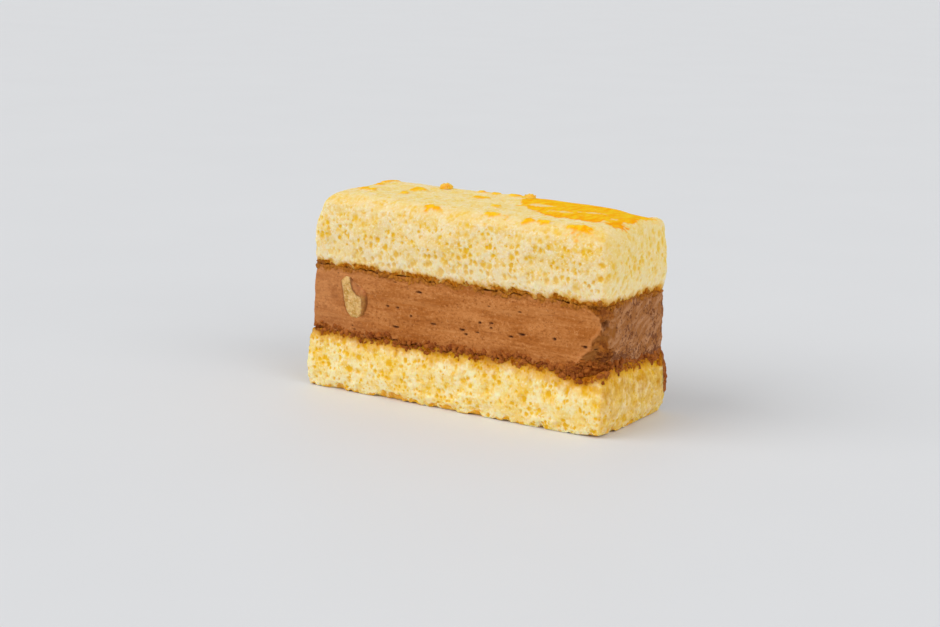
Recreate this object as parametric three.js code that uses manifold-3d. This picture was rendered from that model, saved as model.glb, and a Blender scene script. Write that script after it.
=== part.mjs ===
// A cake sandwich: a rectangular cut of two sponge slabs with a thick layer of chocolate cream between them.
// A piece of walnut shows in the cream at the front cut face, some cream has been dragged down the back of
// the lower sponge, and flakes of golden crust are left on top. Millimetres: X runs along the length, Y from
// the front cut face to the back, Z up, and the origin is under the middle of the cake.
import * as THREE from "three";
import { ImprovedNoise } from "three/addons/math/ImprovedNoise.js";
import { mergeVertices } from "three/addons/utils/BufferGeometryUtils.js";
import Module from "manifold-3d";

// Driving dimensions of the cut cake
const LENGTH = 95;
const DEPTH = 34;
const LOWER_SEAM = 16.5; // height of the seam between the lower sponge and the cream
const UPPER_SEAM = 36.4; // height of the seam between the cream and the upper sponge
const TOP = 55.9; // height of the top at the middle of the cake
const JOIN_GAP = 0.3; // clear space between neighbouring pieces
const CELL = 2.6; // size of the mesh cells that carry the relief

// How the knife and the weight of the cake have shaped the cut
const LEFT_LEAN = 4.2; // the left end leans in by this much from the bottom to the top
const SPONGE_BULGE = 1.1; // the sponges swell past the straight cut at half their height
const CREAM_BULGE = 0.2;
const CUT_EDGE = 0.6; // edge radius along the seams and the base
const TOP_EDGE_LEFT = 4.6; // edge radius of the top, at its left end and at its right end
const TOP_EDGE_RIGHT = 4.2;
const TOP_FALL = 0.8; // fall of the top from the middle to the right end, and its rise to the left end
const BACK_DROOP = { depth: 1.6, reach: 12 }; // the top sinks towards its back right corner

// Waves of the seams, the top and the crust's ragged edge: height, size, and level in the noise field
const LOWER_WAVE = { height: 1.1, size: 9, level: 0.5 };
const UPPER_WAVE = { height: 0.45, size: 9, level: 7.5 };
const TOP_WAVE = { height: 0.4, size: 6.5, level: 3.5 };
const CRUST_RAG = { height: 1.6, size: 4, level: 0.5 };

// The lower seam dips at the front right corner and rises to the back, the upper seam is twisted
const CORNER_DIP = { x: 40.5, y: -17, depth: 2.3, reachX: 8, reachY: 7 };
const BACK_RISE = 0.8;
const UPPER_TWIST = 0.6;

// Relief of the skins: coarse and fine crags of the crumb, and drag marks of the knife in the cream
const CRUMB_COARSE = { height: 1.0, size: 6.5 };
const CRUMB_FINE = { height: 0.7, size: 3.1 };
const DRAG = { height: 0.5, along: 22, across: 4.5 };
const TORN_CORNER = { depth: 2.2, reach: 3.4 };
const SEAM_FADE = 4; // power by which the relief fades out towards a seam
const CROWDING = 0.4; // how strongly the cells are crowded towards the edges

// Crust left on top: one large patch over the back right with a slanted left edge, and single flakes, each
// [x, y, radius]
const CRUST_RISE = 0.6;
const CRUST_PATCH = { left: 11.3, slant: 0.53, front: -8, right: 46, feather: 3 };
const CRUST_FLAKES = [
  [-38.6, 9.7, 3], [-36.6, -5, 2.6], [-24.2, 3.4, 3.4], [-3.1, 2.4, 3.4], [-8, 12, 2.6],
  [3.6, 11, 2.8], [-8.5, -15, 2.2], [11.3, -14.8, 2.4], [27.5, -14.7, 2.6], [39, -15.8, 3.5],
];

// The walnut piece: its neck leans to the left above a wide lobe with a notch on its right shoulder
const NUT = { x: -31.6, z: 27.7, height: 11.6, width: 8.7, depth: 4.6, rim: 0.5, proud: 0.4 };

// Cream dragged down over the back of the lower sponge, beside its right end
const RUN = { left: 40, right: 48.8, bottom: 4.2, top: 18.5, front: 15.4, back: 19.1, rim: 0.9 };

const noise = new ImprovedNoise();
const wasm = await Module();
wasm.setup();

const bell = (distance, reach) => Math.exp(-((distance / reach) ** 2));
const crags = ({ height, size }, x, y, z) => height * noise.noise(x / size, y / size, z / size);
const waves = (wave, x, y) => crags(wave, x, y, wave.level);

// Height of the seam between the lower sponge and the cream
function lowerSeam(x, y) {
  const { depth, reachX, reachY } = CORNER_DIP;
  const dip = depth * bell(x - CORNER_DIP.x, reachX) * bell(y - CORNER_DIP.y, reachY);
  const rise = BACK_RISE * (y / DEPTH) * (1 + x / LENGTH);
  return LOWER_SEAM + waves(LOWER_WAVE, x, y) + rise - dip;
}

// Height of the seam between the cream and the upper sponge
function upperSeam(x, y) {
  const right = (2 * x) / LENGTH;
  const back = y / DEPTH + 0.5;
  return UPPER_SEAM - UPPER_TWIST * right * (0.5 + back) + waves(UPPER_WAVE, x, y);
}

// How much crust is left at a place on top, from 0 for bare crumb to 1
function crust(x, y) {
  const ragged = waves(CRUST_RAG, x, y);
  const { left, slant, front, right, feather } = CRUST_PATCH;
  const slanted = (x - left) * Math.sin(slant) + y * Math.cos(slant);
  const patch = Math.min(slanted, y - front, right - x) / feather + ragged;
  const flakes = CRUST_FLAKES.map(([fx, fy, radius]) => 1.2 - Math.hypot(x - fx, y - fy) / radius);
  return THREE.MathUtils.clamp(Math.max(patch, ...flakes), 0, 1);
}

// Height of the top of the upper sponge
function topSide(x, y) {
  const slope = (TOP_FALL * 2 * x) / LENGTH;
  const droop = BACK_DROOP.depth * bell(Math.hypot(x - LENGTH / 2, y - DEPTH / 2), BACK_DROOP.reach);
  return TOP - slope - droop + CRUST_RISE * crust(x, y) + waves(TOP_WAVE, x, y);
}

// How far the crumb of a sponge stands out or pits in at a place on its side
function crumbRelief(x, y, z) {
  return crags(CRUMB_COARSE, x, y, z) + crags(CRUMB_FINE, x, y, z);
}

// How far the cream stands out: long drag marks along the cut, and a torn corner at the front right
function creamRelief(x, y, z) {
  const drag = DRAG.height * noise.noise(x / DRAG.along, y / DRAG.along, z / DRAG.across);
  const corner = Math.hypot(x - LENGTH / 2, y + DEPTH / 2);
  return drag - TORN_CORNER.depth * bell(corner, TORN_CORNER.reach);
}

// A share from -1 to 1 moved towards its ends, so that cells are smaller where the edges round over
const crowd = (share) => share + (CROWDING * Math.sin(Math.PI * share)) / Math.PI;

// One layer of the cake: a block of cells whose underside and upper side follow two height functions.
// Its edges are rounded by edge(right, up), its sides lean and bulge with the cut, and relief moves its skin
// in or out. loose(lift) fades the relief out at the seams, where neighbouring layers share one outline.
function layer({ underside, upperSide, edge, bulge, relief, loose }) {
  const half = new THREE.Vector3(LENGTH, DEPTH, upperSide(0, 0) - underside(0, 0)).divideScalar(2);
  const cells = half.toArray().map((h) => Math.round((2 * h) / CELL));
  const block = new THREE.BoxGeometry(2, 2, 2, ...cells);
  block.deleteAttribute("normal");
  block.deleteAttribute("uv");
  const geometry = mergeVertices(block);
  const points = geometry.getAttribute("position");
  for (let i = 0; i < points.count; i++) {
    const share = new THREE.Vector3().fromBufferAttribute(points, i);
    const square = new THREE.Vector3(crowd(share.x), crowd(share.y), share.z).multiply(half);

    const radius = edge(share.x, share.z);
    const inner = half.clone().subScalar(radius);
    const core = square.clone().clamp(inner.clone().negate(), inner);
    const normal = square.clone().sub(core).normalize();
    const round = core.addScaledVector(normal, radius);

    const lift = round.z / half.z / 2 + 0.5;
    const height = THREE.MathUtils.lerp(underside(0, 0), upperSide(0, 0), lift);
    const swell = bulge * (1 - (2 * lift - 1) ** 2);
    const lean = ((LEFT_LEAN * height) / TOP) * (0.5 - round.x / LENGTH);
    const stand = relief(round.x, round.y, height) * loose(lift) * (1 - Math.abs(normal.z));
    const x = round.x * (1 + swell / half.x) + lean + stand * normal.x;
    const y = round.y * (1 + swell / half.y) + stand * normal.y;
    const z = THREE.MathUtils.lerp(underside(round.x, round.y), upperSide(round.x, round.y), lift);
    points.setXYZ(i, x, y, z);
  }
  geometry.computeVertexNormals();
  return geometry;
}

// Outline of the walnut's cut face, grown by a clearance, pushed in from the front face and rounded all over
function walnutGeometry(grow) {
  const w = NUT.width / 2 - NUT.rim;
  const h = NUT.height / 2 - NUT.rim;
  const outline = new THREE.Shape();
  outline.moveTo(-w, 0.75 * h);
  outline.quadraticCurveTo(-0.8 * w, 1.05 * h, -0.45 * w, h);
  outline.quadraticCurveTo(-0.1 * w, 0.8 * h, 0.2 * w, 0.4 * h);
  outline.quadraticCurveTo(0.4 * w, 0.36 * h, 0.64 * w, 0.45 * h);
  outline.quadraticCurveTo(w, 0.3 * h, w, -0.12 * h);
  outline.quadraticCurveTo(0.9 * w, -0.95 * h, 0.05 * w, -h);
  outline.quadraticCurveTo(-0.55 * w, -0.95 * h, -0.7 * w, -0.4 * h);
  outline.quadraticCurveTo(-0.8 * w, 0.1 * h, -w, 0.75 * h);
  const geometry = new THREE.ExtrudeGeometry(outline, {
    depth: NUT.depth + 2 * grow,
    curveSegments: 4,
    bevelThickness: NUT.rim,
    bevelSize: NUT.rim + grow,
    bevelSegments: 2,
  });
  const inner = NUT.depth + NUT.rim - NUT.proud + grow - DEPTH / 2;
  return geometry.rotateX(Math.PI / 2).translate(NUT.x, inner, NUT.z);
}

// The cream that was dragged down the back: a tongue with a rounded lower end and rounded rims
function runGeometry(grow) {
  const { left, right, bottom, top, front, back, rim } = RUN;
  const wide = (right - left) / 2 - rim;
  const middle = (left + right) / 2;
  const outline = new THREE.Shape();
  outline.moveTo(middle - wide, top);
  outline.lineTo(middle - wide, bottom + wide);
  outline.quadraticCurveTo(middle - 0.6 * wide, bottom + rim, middle + 0.7 * wide, bottom + rim);
  outline.quadraticCurveTo(middle + wide, bottom + rim, middle + wide, bottom + wide);
  outline.quadraticCurveTo(middle + wide, top - wide, middle, top);
  const geometry = new THREE.ExtrudeGeometry(outline, {
    depth: back - front - 2 * rim + 2 * grow,
    curveSegments: 5,
    bevelThickness: rim,
    bevelSize: rim + grow,
    bevelSegments: 3,
  });
  return geometry.rotateX(Math.PI / 2).translate(0, back - rim + grow, 0);
}

// A closed geometry as a solid for cutting and joining, and back
function toSolid(geometry) {
  const plain = new THREE.BufferGeometry().setAttribute("position", geometry.getAttribute("position"));
  plain.setIndex(geometry.getIndex());
  const merged = mergeVertices(plain);
  const vertProperties = new Float32Array(merged.getAttribute("position").array);
  const triVerts = new Uint32Array(merged.getIndex().array);
  return new wasm.Manifold(new wasm.Mesh({ numProp: 3, vertProperties, triVerts }));
}

function toGeometry(solid) {
  const { vertProperties, triVerts } = solid.getMesh();
  const geometry = new THREE.BufferGeometry();
  geometry.setAttribute("position", new THREE.BufferAttribute(vertProperties, 3));
  geometry.setIndex(new THREE.BufferAttribute(triVerts, 1));
  geometry.computeVertexNormals();
  return geometry;
}

const lowerSponge = layer({
  underside: () => 0,
  upperSide: (x, y) => lowerSeam(x, y) - JOIN_GAP / 2,
  edge: () => CUT_EDGE,
  bulge: SPONGE_BULGE,
  relief: crumbRelief,
  loose: (lift) => 1 - lift ** SEAM_FADE,
});

const cream = layer({
  underside: (x, y) => lowerSeam(x, y) + JOIN_GAP / 2,
  upperSide: (x, y) => upperSeam(x, y) - JOIN_GAP / 2,
  edge: () => CUT_EDGE,
  bulge: CREAM_BULGE,
  relief: creamRelief,
  loose: (lift) => 1 - (2 * lift - 1) ** SEAM_FADE,
});

const upperSponge = layer({
  underside: (x, y) => upperSeam(x, y) + JOIN_GAP / 2,
  upperSide: topSide,
  edge: (right, up) => {
    const topEdge = THREE.MathUtils.lerp(TOP_EDGE_LEFT, TOP_EDGE_RIGHT, right / 2 + 0.5);
    return THREE.MathUtils.lerp(CUT_EDGE, topEdge, THREE.MathUtils.smoothstep(up, -1, 1));
  },
  bulge: SPONGE_BULGE,
  relief: crumbRelief,
  loose: (lift) => 1 - (1 - lift) ** SEAM_FADE,
});

const run = toSolid(runGeometry(0));
const creamSolid = toSolid(cream).add(run).subtract(toSolid(walnutGeometry(JOIN_GAP)));
const lowerSolid = toSolid(lowerSponge).subtract(toSolid(runGeometry(JOIN_GAP)));

const cake = new THREE.Group();

// Adds a named piece of the cake with its own finish
function addPiece(name, geometry, colour, roughness) {
  const material = new THREE.MeshStandardMaterial({ color: colour, roughness, metalness: 0 });
  const mesh = new THREE.Mesh(geometry, material);
  mesh.name = name;
  cake.add(mesh);
}

addPiece("sponge_lower", toGeometry(lowerSolid), "#ecc878", 0.95);
addPiece("cream_filling", toGeometry(creamSolid), "#b16d35", 0.6);
addPiece("walnut_piece", walnutGeometry(0), "#c38f4e", 0.65);
addPiece("sponge_upper", upperSponge, "#eacb88", 0.95);

// The pieces move together so that the origin is under the middle of the cake
const box = new THREE.Box3().setFromObject(cake);
const middle = box.getCenter(new THREE.Vector3());
cake.position.set(-middle.x, -middle.y, -box.min.z);

export default cake;
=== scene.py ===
# %% [markdown]
# # A cake sandwich
# A rectangular cut of layered cake: two slabs of yellow sponge, a thick layer of chocolate cream between
# them, a piece of walnut cut through at the front, and flakes of golden crust on top. The solids give every
# layer its place and size. This lesson gives each layer its crumb, its bubbles, its knife marks and its
# colours.

# %% Load the solids
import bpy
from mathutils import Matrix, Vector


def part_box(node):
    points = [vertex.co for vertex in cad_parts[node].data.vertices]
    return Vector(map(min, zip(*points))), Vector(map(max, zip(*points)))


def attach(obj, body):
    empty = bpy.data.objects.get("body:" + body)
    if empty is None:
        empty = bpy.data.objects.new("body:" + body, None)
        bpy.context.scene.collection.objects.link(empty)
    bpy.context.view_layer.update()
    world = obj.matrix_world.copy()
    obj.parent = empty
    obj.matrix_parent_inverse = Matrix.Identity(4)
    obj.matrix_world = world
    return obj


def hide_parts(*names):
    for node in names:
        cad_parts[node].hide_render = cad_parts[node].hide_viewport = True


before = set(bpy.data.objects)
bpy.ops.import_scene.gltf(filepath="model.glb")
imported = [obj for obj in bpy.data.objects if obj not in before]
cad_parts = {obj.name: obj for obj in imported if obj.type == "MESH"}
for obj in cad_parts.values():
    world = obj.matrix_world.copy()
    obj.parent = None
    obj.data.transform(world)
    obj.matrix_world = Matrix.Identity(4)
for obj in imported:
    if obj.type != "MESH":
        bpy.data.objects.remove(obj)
print(len(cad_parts), "solids loaded")

# %% [markdown]
# Blender works in metres, and a cake is easier to think of in millimetres. All sizes below are millimetres,
# and MM turns them into Blender's units.

# %% Units
import math

import bpy
import numpy as np
from mathutils import Matrix, Vector, noise
from mathutils.bvhtree import BVHTree

MM = 0.001
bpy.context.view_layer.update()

# %% [markdown]
# ## The camera
# The cake is seen from its front right corner, a little from above, through a short telephoto lens. A camera
# is easiest to place by the point it looks at, its direction round that point, and its distance. The
# picture leans by about one degree, and turning the camera about its own axis gives that.

# %% Camera
AIM = Vector((-2.4, -3.0, 24.5)) * MM
AZIMUTH, ELEVATION, ROLL = (math.radians(a) for a in (32.35, 12.76, 1.0))
DISTANCE = 501.3 * MM
LENS = 68.9

bpy.ops.object.select_all(action="DESELECT")
level = math.cos(ELEVATION)
back = Vector((math.sin(AZIMUTH) * level, -math.cos(AZIMUTH) * level, math.sin(ELEVATION)))
bpy.ops.object.camera_add(location=AIM + back * DISTANCE)
camera = bpy.context.object
upright = (-back).to_track_quat("-Z", "Y").to_matrix()
camera.rotation_euler = (upright @ Matrix.Rotation(ROLL, 3, "Z")).to_euler()
camera.data.lens = LENS
camera.data.clip_start = 10 * MM
bpy.context.scene.camera = camera
print("camera at mm:", [round(v / MM) for v in camera.location])

# %% [markdown]
# ## Floor and light
# The cake stands in a bright, soft studio on a plain pale floor. A sun lamp with a wide disc, above and to
# the left, gives the top and the front their light with soft shadows, a weaker one from the right lights
# the end, and a pale sky fills the rest. A sun lights the whole floor alike, where a lamp close by would
# leave a bright spot. The Standard view keeps the colours of the materials as they are, where the default
# view would dull them.

# %% Floor and light
SUNS = [(Vector((-0.5, -0.6, 0.62)), 1.36), (Vector((0.8, -0.25, 0.45)), 0.93)]
SUN_DISC = math.radians(50)
SKY_POWER = 0.55
FLOOR_METRES = 12


def srgb(red, green, blue):
    """A colour as read from a screen, 0 to 255, as the linear colour that a socket takes."""
    parts = [c / 255 for c in (red, green, blue)]
    return [c / 12.92 if c <= 0.04045 else ((c + 0.055) / 1.055) ** 2.4 for c in parts] + [1.0]


for way, power in SUNS:
    bpy.ops.object.light_add(type="SUN", location=AIM + way)
    sun = bpy.context.object
    sun.data.energy = power
    sun.data.angle = SUN_DISC
    sun.rotation_euler = (-way).to_track_quat("-Z", "Y").to_euler()

world = bpy.data.worlds.new("studio")
bpy.context.scene.world = world
world.use_nodes = True
sky = world.node_tree.nodes["Background"]
sky.inputs["Color"].default_value = srgb(253, 254, 255)
sky.inputs["Strength"].default_value = SKY_POWER
bpy.context.scene.view_settings.view_transform = "Standard"

bpy.ops.mesh.primitive_plane_add(size=FLOOR_METRES)
floor = bpy.context.object
floor.name = "floor"
print(len(SUNS), "suns, a sky and a floor made")

# %% [markdown]
# ## Numbers for each point
# A modifier or a material often needs to know more than a place: how near the cream is, or where there is
# crust. Such numbers are worked out for all points of a piece at once and painted on it under a name. Smooth
# steps and soft noise keep them from looking ruled.

# %% Painting helpers
def places(piece):
    """The points of a piece, as rows of millimetres."""
    rows = np.empty(3 * len(piece.data.vertices), np.float32)
    piece.data.vertices.foreach_get("co", rows)
    return rows.reshape(-1, 3) / MM


def facing(piece):
    """The outward directions of a piece's points, as rows."""
    rows = np.empty(3 * len(piece.data.vertices), np.float32)
    piece.data.vertex_normals.foreach_get("vector", rows)
    return rows.reshape(-1, 3)


def paint(piece, name, values):
    """Paints one number on each point of a piece."""
    layer = piece.data.attributes.new(name, "FLOAT", "POINT")
    layer.data.foreach_set("value", np.asarray(values, np.float32))


def ripple(rows, size, shift=0.0):
    """Soft noise from -1 to 1 at each row of millimetres, in blobs of one size."""
    return np.array([noise.noise(Vector(row)) for row in (rows / size + shift).tolist()])


def gap_to(solid, rows):
    """The distance in millimetres from each row to a solid."""
    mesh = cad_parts[solid].data
    tree = BVHTree.FromPolygons([p.co for p in mesh.vertices], [f.vertices for f in mesh.polygons])
    return np.array([tree.find_nearest(Vector(row))[3] for row in (rows * MM).tolist()]) / MM


def step(values, start, end):
    """A smooth step from 0 to 1 while the values go from start to end."""
    share = np.clip((values - start) / (end - start), 0, 1)
    return share * share * (3 - 2 * share)


print("painting helpers ready")

# %% [markdown]
# ## From a cube to a layer of cake
# Each layer starts as a cube at the size of its solid, and its edges are cut into many small cells. They are
# about half a millimetre long and are halved once more when the layer is rounded. That is small enough to
# hold the bubbles of the crumb as real shape.

# %% A cube cut into cells
def select_only(piece):
    """Makes a piece the only selected one."""
    bpy.ops.object.select_all(action="DESELECT")
    bpy.context.view_layer.objects.active = piece
    piece.select_set(True)


def select_parts(piece, kind, wanted):
    """Selects the faces or edges of a piece that pass a test, and leaves it in edit mode."""
    select_only(piece)
    bpy.ops.object.mode_set(mode="EDIT")
    bpy.ops.mesh.select_mode(type=kind)
    bpy.ops.mesh.select_all(action="DESELECT")
    bpy.ops.object.mode_set(mode="OBJECT")
    for part in piece.data.edges if kind == "EDGE" else piece.data.polygons:
        part.select = wanted(part)
    bpy.ops.object.mode_set(mode="EDIT")


def block(name, low, high, counts):
    """A cube between two corners, cut into cells along X, Y and Z."""
    bpy.ops.object.select_all(action="DESELECT")
    bpy.ops.mesh.primitive_cube_add(size=1, location=(Vector(low) + Vector(high)) / 2)
    made = bpy.context.object
    made.name = made.data.name = name
    made.scale = Vector(high) - Vector(low)
    bpy.ops.object.transform_apply(location=True, rotation=True, scale=True)

    def along(edge, axis):
        ends = [made.data.vertices[index].co for index in edge.vertices]
        return abs((ends[1] - ends[0])[axis]) > 0.999 * (ends[1] - ends[0]).length

    for axis, count in enumerate(counts):
        select_parts(made, "EDGE", lambda edge: along(edge, axis))
        bpy.ops.mesh.subdivide_edgering(number_cuts=count - 1, interpolation="LINEAR")
        bpy.ops.object.mode_set(mode="OBJECT")
    return made


print("block helpers ready")

# %% [markdown]
# A Shrinkwrap modifier lays the cells on the solid, a Smooth modifier wears the edges that were handled, and
# one level of Subdivision Surface rounds what is left of the solid's flat facets. Each modifier is applied
# at once, so that the mesh which is seen is also the mesh which is kept.

# %% A block laid on its solid
def use_modifier(piece, kind, **settings):
    """Adds a modifier to a piece, sets it and applies it at once."""
    made = piece.modifiers.new(kind.lower(), kind)
    for name, value in settings.items():
        setattr(made, name, value)
    select_only(piece)
    bpy.ops.object.modifier_apply(modifier=made.name)


def lay_on(piece, solid, worn=None, times=0):
    """Lays a piece's cells on a solid, wears it by a share for each point, and rounds it."""
    use_modifier(piece, "SHRINKWRAP", target=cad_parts[solid], wrap_method="NEAREST_SURFACEPOINT")
    if worn:
        group = piece.vertex_groups.new(name="worn")
        for index, share in enumerate(worn(places(piece)).tolist()):
            group.add([index], share, "REPLACE")
        use_modifier(piece, "SMOOTH", factor=0.5, iterations=times, vertex_group="worn")
        piece.vertex_groups.clear()
    use_modifier(piece, "SUBSURF", levels=1, render_levels=1)
    print(piece.name, "laid on its solid with", len(piece.data.vertices), "points")


print("modifiers ready")

# %% [markdown]
# ## The lower sponge
# The slab gets its outer shape first. The front right corner of both sponges was handled and is worn round,
# and the upper edges of the cake are worn a little too. Beside the cream nothing is worn, so that no gap
# opens at the seams.

# %% Lower sponge
SOFT_X, SOFT_Y = 48.0, -18.0
LOWER_CELLS, LOWER_WEAR = (190, 68, 33), 160


def worn_edges(rows):
    """The share by which edges are worn: none at the cream, some at the top, most at one corner."""
    gap = gap_to("cream_filling", rows)
    corner = step(np.hypot(rows[:, 0] - SOFT_X, rows[:, 1] - SOFT_Y), 9, 4)
    light = (0.03 + 0.15 * step(rows[:, 2], 44, 50)) * step(gap, 0.5, 3.0) * step(rows[:, 2], 0.5, 3.0)
    return np.maximum(light, corner * step(gap, 0.2, 1.5))


lower = block("lower_sponge", *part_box("sponge_lower"), LOWER_CELLS)
lay_on(lower, "sponge_lower", worn_edges, LOWER_WEAR)

# %% [markdown]
# ## Small helpers for nodes
# The crumb is cut by Geometry Nodes, and its colours come from shader nodes. Both kinds of tree use the same
# textures and sums. These helpers add one node, feed its sockets with a link or a plain value, and hand back
# the socket that it gives.

# %% Sums with nodes
def tree_of(values):
    """The node tree that the first link among some values belongs to."""
    return next(value.id_data for value in values if isinstance(value, bpy.types.NodeSocket))


def feed(socket, value):
    """Gives a socket a link where value is another node's socket, and else a plain value."""
    if isinstance(value, bpy.types.NodeSocket):
        value.id_data.links.new(value, socket)
    else:
        socket.default_value = value


def node(tree, kind, inputs=(), **settings):
    """Adds a node with its settings, and feeds its sockets by name."""
    made = tree.nodes.new(kind)
    for name, value in settings.items():
        setattr(made, name, value)
    for name, value in dict(inputs).items():
        feed(made.inputs[name], value)
    return made


def calc(operation, *values):
    """One sum with numbers."""
    made = node(tree_of(values), "ShaderNodeMath", operation=operation)
    for socket, value in zip(made.inputs, values):
        feed(socket, value)
    return made.outputs["Value"]


def vector(operation, *values):
    """One sum with vectors; a length is a number."""
    made = node(tree_of(values), "ShaderNodeVectorMath", operation=operation)
    for socket, value in zip(made.inputs, values):
        feed(socket, value)
    return made.outputs["Value" if operation == "LENGTH" else "Vector"]


def scaled(value, factor):
    """A vector made longer or shorter by a number."""
    sockets = {"Vector": value, "Scale": factor}
    return node(value.id_data, "ShaderNodeVectorMath", sockets, operation="SCALE").outputs["Vector"]


print("sums ready")

# %% [markdown]
# Nearly every pattern on the cake is made of three things: a soft step between two limits, cloudy noise, and
# points scattered through space. Their sizes are in millimetres, because the places fed to them are.

# %% Textures
def fade(value, start, end, low=0.0, high=1.0):
    """A smooth step from low to high while value goes from start to end."""
    sockets = {"Value": value, "From Min": start, "From Max": end, "To Min": low, "To Max": high}
    made = node(value.id_data, "ShaderNodeMapRange", sockets, interpolation_type="SMOOTHSTEP")
    return made.outputs["Result"]


def cloud(spot, size, detail=2.0, rough=0.5, output=0):
    """Soft noise from 0 to 1, in blobs of about one size; output 1 gives three noises as a vector."""
    sockets = {"Vector": spot, "Scale": 1 / size, "Detail": detail, "Roughness": rough}
    return node(spot.id_data, "ShaderNodeTexNoise", sockets).outputs[output]


def swell(spot, size, detail, rough):
    """Soft noise from -0.5 to 0.5, by which a surface goes up and down."""
    return calc("SUBTRACT", cloud(spot, size, detail, rough), 0.5)


def drift(spot, size, detail, rough):
    """Three soft noises from -0.5 to 0.5, by which places are shifted about."""
    return vector("SUBTRACT", cloud(spot, size, detail, rough, 1), (0.5, 0.5, 0.5))


def cells(spot, size):
    """Points scattered through space about one size apart: a Voronoi node, and a lucky number for each."""
    made = node(spot.id_data, "ShaderNodeTexVoronoi", {"Vector": spot, "Scale": 1 / size})
    luck = node(spot.id_data, "ShaderNodeSeparateXYZ", {"Vector": made.outputs["Color"]})
    return made, luck.outputs["X"]


print("textures ready")

# %% [markdown]
# ## Bubbles in the crumb
# Sponge cake is a foam, and a knife cuts its bubbles open. A Voronoi texture scatters points through space,
# and each of them is taken as the middle of a bubble with its own radius. Where the cut face lies inside a
# bubble it is pushed in, most in the middle. This gives pits of all sizes, as a real cut does, where plain
# noise would only give bumps. Several sizes of bubble lie over each other, and noise bends them out of
# round.

# %% Bubble field
WOBBLE = 1.6


def bubble(spot, size, least, most):
    """The share by which each point lies inside the nearest bubble, and that bubble's radius."""
    made, luck = cells(spot, size)
    radius = calc("MAXIMUM", calc("MULTIPLY_ADD", luck, most - least, least), 0.01)
    away = vector("LENGTH", vector("SUBTRACT", spot, made.outputs["Position"]))
    return fade(calc("DIVIDE", away, radius), 1.1, 0.15), radius


def foam(place, bubbles):
    """The shares and radii of all bubbles of a crumb, in a space that noise bends a little."""
    spot = vector("ADD", place, scaled(drift(place, 1.1, 3.0, 0.65), WOBBLE))
    return [bubble(spot, *sizes) for sizes in bubbles]


def largest(values):
    """The largest of some numbers."""
    result = values[0]
    for value in values[1:]:
        result = calc("MAXIMUM", result, value)
    return result


print("bubble field ready")

# %% [markdown]
# The tree of a Geometry Nodes modifier has a way in and a way out. Between them it can read what is painted
# on the mesh, paint more on it for the material, and move its points.

# %% Modifier helpers
def modifier_tree(name):
    """A new Geometry Nodes tree: the mesh going in, its points in millimetres, its normals, the way out."""
    tree = bpy.data.node_groups.new(name, "GeometryNodeTree")
    tree.interface.new_socket("Geometry", in_out="INPUT", socket_type="NodeSocketGeometry")
    tree.interface.new_socket("Geometry", in_out="OUTPUT", socket_type="NodeSocketGeometry")
    mesh = node(tree, "NodeGroupInput").outputs["Geometry"]
    place = scaled(node(tree, "GeometryNodeInputPosition").outputs["Position"], 1 / MM)
    normal = node(tree, "GeometryNodeInputNormal").outputs["Normal"]
    return mesh, place, normal, node(tree, "NodeGroupOutput").inputs["Geometry"]


def named(mesh, name):
    """The painted values of a mesh, read inside a modifier."""
    return node(mesh.id_data, "GeometryNodeInputNamedAttribute", {"Name": name}).outputs["Attribute"]


def store(mesh, name, value):
    """Paints vectors on a mesh inside a modifier, for the material to read."""
    sockets = {"Geometry": mesh, "Name": name, "Value": value}
    made = node(mesh.id_data, "GeometryNodeStoreNamedAttribute", sockets, data_type="FLOAT_VECTOR")
    return made.outputs["Geometry"]


def moved(mesh, *offsets):
    """The mesh with its points moved by the sum of some vectors in millimetres."""
    total = offsets[0]
    for offset in offsets[1:]:
        total = vector("ADD", total, offset)
    sockets = {"Geometry": mesh, "Offset": scaled(total, MM)}
    return node(mesh.id_data, "GeometryNodeSetPosition", sockets).outputs["Geometry"]


def upward(height):
    """A vector straight up, as long as a number."""
    return node(height.id_data, "ShaderNodeCombineXYZ", {"Z": height}).outputs["Vector"]


print("modifier helpers ready")

# %% [markdown]
# One modifier cuts the crumb of both sponges. Beside the cream it cuts shallower bubbles and tears the face
# into lumps instead. The place of each point before all this is painted on the mesh under the name rest, and
# the material finds the same bubbles with it.

# %% Crumb
LUMP_SIZE, LUMP_RISE = 1.5, 0.7


def cobble(place, size):
    """Lumps side by side: 0 in the gaps between them and 1 on top."""
    made = cells(vector("ADD", place, cloud(place, 1.0, 2.0, 0.6, 1)), size)[0]
    return fade(made.outputs["Distance"], 0.75, 0.1)


def crumb_modifier(name, bubbles, share, deepest, rough):
    """Cuts bubbles into what is painted as open, roughens it, and tears it into lumps beside the cream."""
    mesh, place, normal, out = modifier_tree(name)
    mesh = store(mesh, "rest", place)
    depth = largest([calc("MULTIPLY", *one) for one in foam(place, bubbles)])
    calm = fade(named(mesh, "near_cream"), 0.2, 2.0, 0.1, 1.0)
    depth = calc("MULTIPLY", calc("MINIMUM", calc("MULTIPLY", depth, share), deepest), calm)
    torn = fade(named(mesh, "near_cream"), 1.8, 0.2, 0.0, 0.3 * LUMP_RISE)
    rise = calc("MULTIPLY", cobble(place, LUMP_SIZE), torn)
    rise = calc("MULTIPLY_ADD", swell(place, 0.7, 3.0, 0.65), calc("MULTIPLY", calm, rough), rise)
    rise = calc("MULTIPLY", calc("SUBTRACT", rise, depth), named(mesh, "open"))
    feed(out, moved(mesh, scaled(normal, rise), upward(named(mesh, "shift"))))
    return out.id_data


print("crumb ready")

# %% [markdown]
# The seams between sponge and cream wave, because both were soft when they were cut. The upper seam also
# hangs a little lower than in the solids, and the lower one stands higher along the front, most of all to
# the right. Sponge and cream are moved alike there, so that they keep together.

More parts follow.
